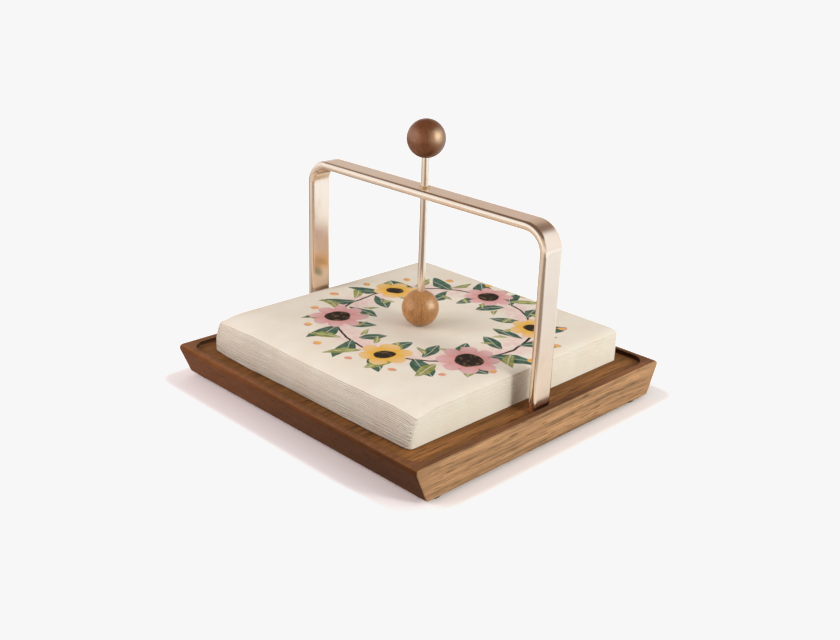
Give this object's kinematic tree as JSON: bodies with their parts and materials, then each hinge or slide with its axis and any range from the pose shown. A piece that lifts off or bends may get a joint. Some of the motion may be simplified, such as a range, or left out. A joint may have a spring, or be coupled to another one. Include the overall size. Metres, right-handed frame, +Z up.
{
  "type": "napkin holder",
  "caption": "Square wood tray for a stack of paper napkins, with a flat metal arch over it and a sliding rod with ball ends that weighs the stack down.",
  "frame": {"origin": "under the middle of the tray, on the plane that the feet stand on", "axes": "+Z up, X along the span of the arch, -Y the side from which the napkins are drawn out"},
  "size_m": [0.2, 0.1996, 0.1602],
  "materials": {
    "tray_wood": "dark brown hardwood under a satin lacquer",
    "champagne_metal": "satin champagne plating, softly reflecting",
    "rod_metal": "polished champagne plating",
    "sleeve_brass": "turned, lightly polished",
    "screw_steel": "zinc plated",
    "dark_ball_wood": "dark brown wood under a satin lacquer",
    "light_ball_wood": "caramel wood under a satin lacquer",
    "foot_rubber": "matt black",
    "napkin_paper": "soft cream tissue paper",
    "napkin_print": null
  },
  "bodies": {
    "base": {"tray": "tray_wood", "arch": "champagne_metal", "leg_screw_right": "screw_steel", "leg_screw_left": "screw_steel", "leg_washer_right": "screw_steel", "leg_washer_left": "screw_steel", "foot_front_right": "foot_rubber", "foot_front_left": "foot_rubber", "foot_rear_right": "foot_rubber", "foot_rear_left": "foot_rubber", "napkin_01": "napkin_paper", "napkin_02": "napkin_paper", "napkin_03": "napkin_paper", "napkin_04": "napkin_paper", "napkin_05": "napkin_paper", "napkin_06": "napkin_paper", "napkin_07": "napkin_paper", "napkin_08": "napkin_paper", "napkin_09": "napkin_paper", "napkin_10": "napkin_paper", "napkin_11": "napkin_paper", "napkin_12": "napkin_paper", "napkin_13": "napkin_paper", "napkin_14": "napkin_paper", "napkin_15": "napkin_paper", "napkin_16": "napkin_paper", "napkin_17": "napkin_paper", "napkin_18": "napkin_paper", "napkin_19": "napkin_paper"},
    "sleeve": {"guide_sleeve": "sleeve_brass"},
    "plunger": {"rod": "rod_metal", "bottom_ball": "light_ball_wood", "top_ball": "dark_ball_wood", "top_ball_insert": "sleeve_brass"},
    "top_napkin": {"napkin_top": "napkin_print"}
  },
  "joints": [
    {"name": "sleeve_spin", "type": "hinge", "parent": "base", "child": "sleeve", "pos_m": [0, 0, 0.1195], "axis": [0, 0, 1], "continuous": true},
    {"name": "rod_slide", "type": "slide", "parent": "sleeve", "child": "plunger", "axis": [0, 0, 1], "range_m": [0, 0.055]},
    {"name": "napkin_draw", "type": "slide", "parent": "base", "child": "top_napkin", "axis": [0, -1, 0], "range_m": [0, 0.085]}
  ]
}
